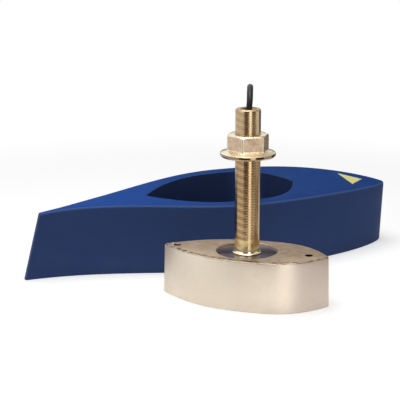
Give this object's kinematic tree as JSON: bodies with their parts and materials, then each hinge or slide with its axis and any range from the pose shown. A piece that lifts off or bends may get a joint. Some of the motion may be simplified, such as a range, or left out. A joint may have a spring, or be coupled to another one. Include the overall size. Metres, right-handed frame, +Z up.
{
  "type": "sonar transducer",
  "caption": "Thru-hull bronze sonar transducer with threaded stem, hull nut and cable, beside its separate faired mounting block.",
  "frame": {"origin": "on the stem's axis, at the acoustic face on which the housing stands", "axes": "+Z up the stem; +X to the right along the longer side of the set as pictured; +Y away from the picture's camera"},
  "size_m": [0.5107, 0.5674, 0.2728],
  "materials": {
    "acoustic_window": "cast polyurethane, satin",
    "backing_block": "cork and resin, matt",
    "bow_arrow": "pale yellow film",
    "cable": "black jacket, satin",
    "cable_coil": "black jacket, satin",
    "cable_core": "tinned screen",
    "cable_seal": "moulded",
    "cable_tail": "black jacket, satin",
    "ceramic_high": "fired piezoelectric ceramic",
    "ceramic_low_1": "fired piezoelectric ceramic",
    "ceramic_low_2": "fired piezoelectric ceramic",
    "ceramic_low_3": "fired piezoelectric ceramic",
    "ceramic_low_4": "fired piezoelectric ceramic",
    "ceramic_low_5": "fired piezoelectric ceramic",
    "ceramic_low_6": "fired piezoelectric ceramic",
    "ceramic_low_7": "fired piezoelectric ceramic",
    "coil_tie_1": "woven strap",
    "coil_tie_2": "woven strap",
    "fairing": "moulded, satin blue",
    "hull_nut": "machined bronze",
    "insert_housing": "cast bronze, blasted",
    "junction_board": "glass-filled board",
    "lead_high": "insulated lead",
    "lead_low": "insulated lead",
    "lead_temperature": "insulated lead",
    "lead_transformer": "insulated lead",
    "locating_pin": "turned",
    "plug_body": "moulded",
    "plug_boot": "moulded strain relief",
    "plug_insert": "moulded",
    "plug_pin_1": "gilt",
    "plug_pin_2": "gilt",
    "plug_pin_3": "gilt",
    "plug_pin_4": "gilt",
    "plug_pin_5": "gilt",
    "plug_ring": "moulded, ribbed",
    "stem": "turned bronze, threaded",
    "temperature_sensor": "turned capsule",
    "transformer_bobbin": "moulded",
    "transformer_core": "ferrite",
    "transformer_winding": "enamelled copper wire"
  },
  "bodies": {
    "root": {"acoustic_window": "acoustic_window", "backing_block": "backing_block", "bow_arrow": "bow_arrow", "cable": "cable", "cable_coil": "cable_coil", "cable_core": "cable_core", "cable_seal": "cable_seal", "cable_tail": "cable_tail", "ceramic_high": "ceramic_high", "ceramic_low_1": "ceramic_low_1", "ceramic_low_2": "ceramic_low_2", "ceramic_low_3": "ceramic_low_3", "ceramic_low_4": "ceramic_low_4", "ceramic_low_5": "ceramic_low_5", "ceramic_low_6": "ceramic_low_6", "ceramic_low_7": "ceramic_low_7", "coil_tie_1": "coil_tie_1", "coil_tie_2": "coil_tie_2", "fairing": "fairing", "hull_nut": "hull_nut", "insert_housing": "insert_housing", "junction_board": "junction_board", "lead_high": "lead_high", "lead_low": "lead_low", "lead_temperature": "lead_temperature", "lead_transformer": "lead_transformer", "locating_pin": "locating_pin", "plug_body": "plug_body", "plug_boot": "plug_boot", "plug_insert": "plug_insert", "plug_pin_1": "plug_pin_1", "plug_pin_2": "plug_pin_2", "plug_pin_3": "plug_pin_3", "plug_pin_4": "plug_pin_4", "plug_pin_5": "plug_pin_5", "plug_ring": "plug_ring", "stem": "stem", "temperature_sensor": "temperature_sensor", "transformer_bobbin": "transformer_bobbin", "transformer_core": "transformer_core", "transformer_winding": "transformer_winding"}
  },
  "joints": []
}
